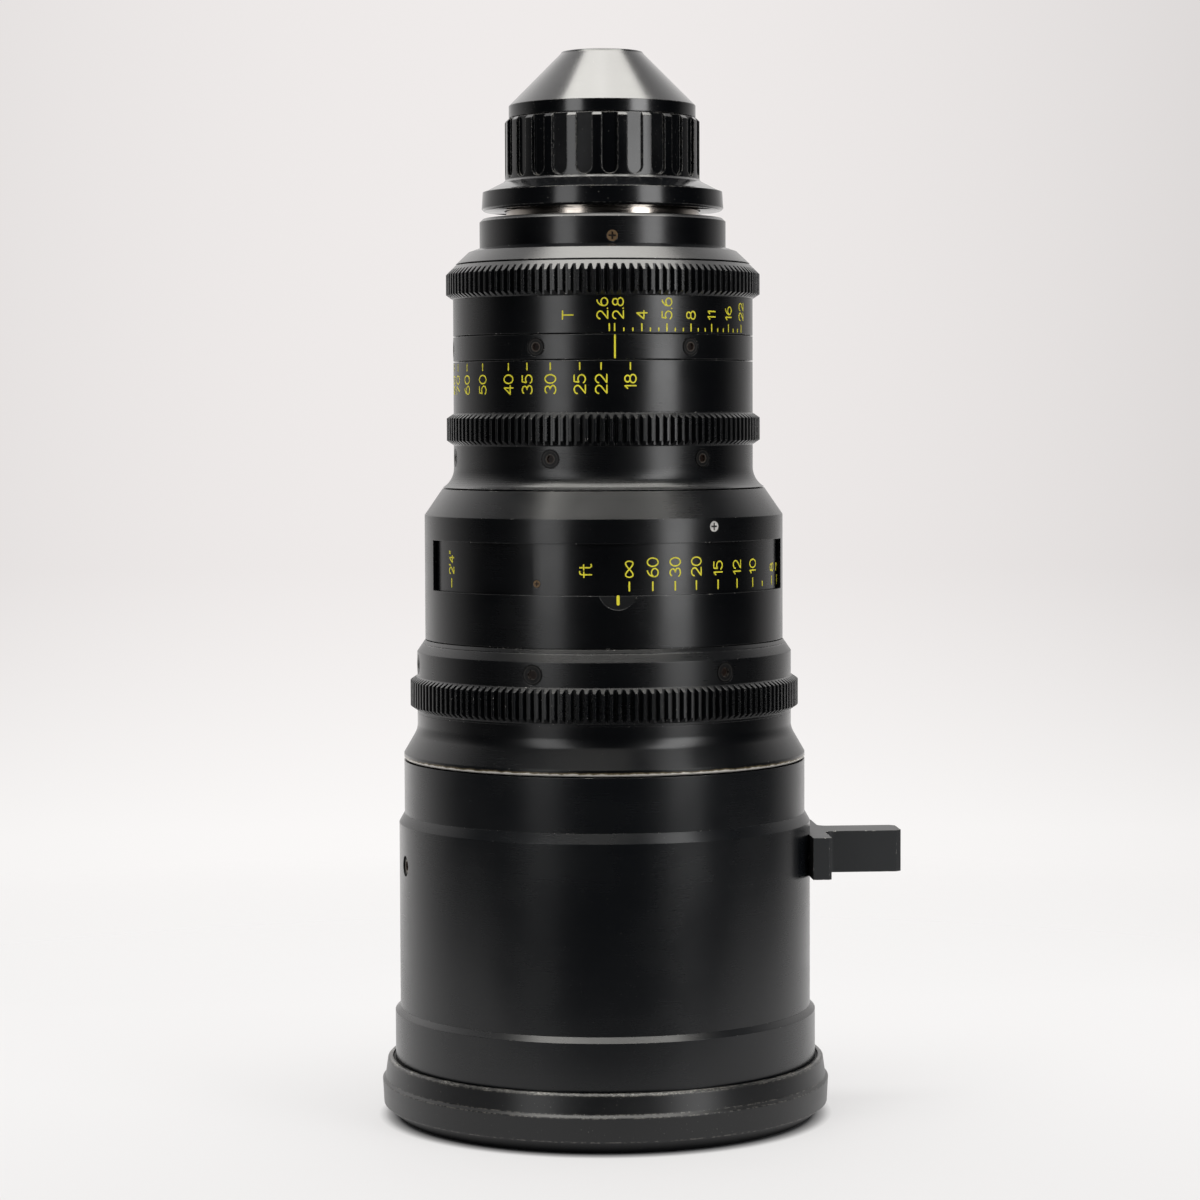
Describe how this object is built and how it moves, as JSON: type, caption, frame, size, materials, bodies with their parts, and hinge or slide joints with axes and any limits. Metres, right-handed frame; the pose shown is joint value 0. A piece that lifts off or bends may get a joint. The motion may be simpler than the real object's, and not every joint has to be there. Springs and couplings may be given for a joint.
{
  "type": "cinema zoom lens",
  "caption": "Tall stepped black cinema zoom lens standing on its front cap, with toothed focus, zoom and iris rings, a side support foot and a fluted rear cap.",
  "frame": {"origin": "centre of the front cap's flat face, on the optical axis", "axes": "+Z along the optical axis towards the rear mount; the index marks face -Y; the support foot points to +X"},
  "size_m": [0.1657, 0.1424, 0.337],
  "materials": {
    "black_anodised": "satin black anodised",
    "cap_plastic": "glossy black moulded plastic",
    "inner_black": "matt black anodised",
    "foot_metal": "dark grey matt coat",
    "felt": "black flock",
    "steel": "satin steel",
    "dark_screw": "blackened steel",
    "brass": "worn brass",
    "cam_bronze": "machined bronze",
    "glass": "coated optical glass",
    "blade_steel": "blackened spring steel"
  },
  "bodies": {
    "barrel": {"front_ring": "black_anodised", "front_retainer": "black_anodised", "front_element": "glass", "front_barrel": "black_anodised", "front_cell": "inner_black", "inner_element": "glass", "support_foot": "foot_metal", "foot_screws": "steel", "barrel_lock_screw": "dark_screw", "barrel_collar": "black_anodised", "collar_screws": "steel", "main_sleeve": "inner_black", "body_shell": "black_anodised", "body_screw": "steel", "guide_tube": "inner_black", "index_ring": "black_anodised", "index_screws": "dark_screw", "iris_base": "inner_black", "iris_blades": "blade_steel", "rear_cover_ring": "black_anodised", "rear_housing": "black_anodised", "housing_screw": "brass", "relay_cell": "inner_black", "relay_element_front": "glass", "relay_element_rear": "glass", "mount_shim": "steel", "mount_ring": "steel", "mount_screws": "steel", "mount_barrel": "black_anodised", "rear_element": "glass"},
    "front_cap": {"front_cap": "cap_plastic", "cap_liner": "felt"},
    "focus_ring": {"focus_hub": "black_anodised", "focus_gear": "black_anodised", "focus_screws": "dark_screw", "focus_cam": "inner_black", "focus_drum": "black_anodised", "drum_screw": "brass"},
    "focus_group": {"focus_carrier": "inner_black", "focus_element_front": "glass", "focus_element_rear": "glass", "focus_pins": "steel"},
    "zoom_ring": {"zoom_hub": "black_anodised", "zoom_gear": "black_anodised", "zoom_screws": "dark_screw", "zoom_keys": "steel", "cam_drum": "cam_bronze"},
    "variator": {"variator_carrier": "inner_black", "variator_element": "glass", "variator_pins": "steel"},
    "compensator": {"compensator_carrier": "inner_black", "compensator_element": "glass", "compensator_pins": "steel"},
    "iris_ring": {"iris_ring": "black_anodised", "iris_gear": "black_anodised", "iris_keys": "steel", "iris_actuator": "inner_black"},
    "rear_cap": {"rear_cap": "cap_plastic"},
    "rear_cap_ring": {"rear_cap_ring": "cap_plastic"}
  },
  "joints": [
    {"name": "focus_turn", "type": "hinge", "parent": "barrel", "child": "focus_ring", "pos_m": [0, 0, 0], "axis": [0, 0, 1], "range_deg": [-298, 0]},
    {"name": "focus_slide", "type": "slide", "parent": "barrel", "child": "focus_group", "axis": [0, 0, 1], "range_m": [-0.015, 0]},
    {"name": "zoom_turn", "type": "hinge", "parent": "barrel", "child": "zoom_ring", "pos_m": [0, 0, 0], "axis": [0, 0, 1], "range_deg": [-5.7, 85.4]},
    {"name": "variator_slide", "type": "slide", "parent": "barrel", "child": "variator", "axis": [0, 0, 1], "range_m": [-0.00213, 0.03188]},
    {"name": "compensator_slide", "type": "slide", "parent": "barrel", "child": "compensator", "axis": [0, 0, 1], "range_m": [-0.00063, 0.00938]},
    {"name": "iris_turn", "type": "hinge", "parent": "barrel", "child": "iris_ring", "pos_m": [0, 0, 0], "axis": [0, 0, 1], "range_deg": [-61, 2]},
    {"name": "front_cap_off", "type": "slide", "parent": "barrel", "child": "front_cap", "axis": [0, 0, -1], "range_m": [0, 0.04]},
    {"name": "rear_cap_off", "type": "slide", "parent": "barrel", "child": "rear_cap", "axis": [0, 0, 1], "range_m": [0, 0.045]},
    {"name": "rear_cap_lock", "type": "hinge", "parent": "rear_cap", "child": "rear_cap_ring", "pos_m": [0, 0, 0], "axis": [0, 0, 1], "range_deg": [0, 45]}
  ],
  "couplings": [
    {"joint": "focus_slide", "follows": "focus_turn", "m_per_rad": 0.002884},
    {"joint": "variator_slide", "follows": "zoom_turn", "m_per_rad": 0.021384},
    {"joint": "compensator_slide", "follows": "zoom_turn", "m_per_rad": 0.0062893}
  ]
}
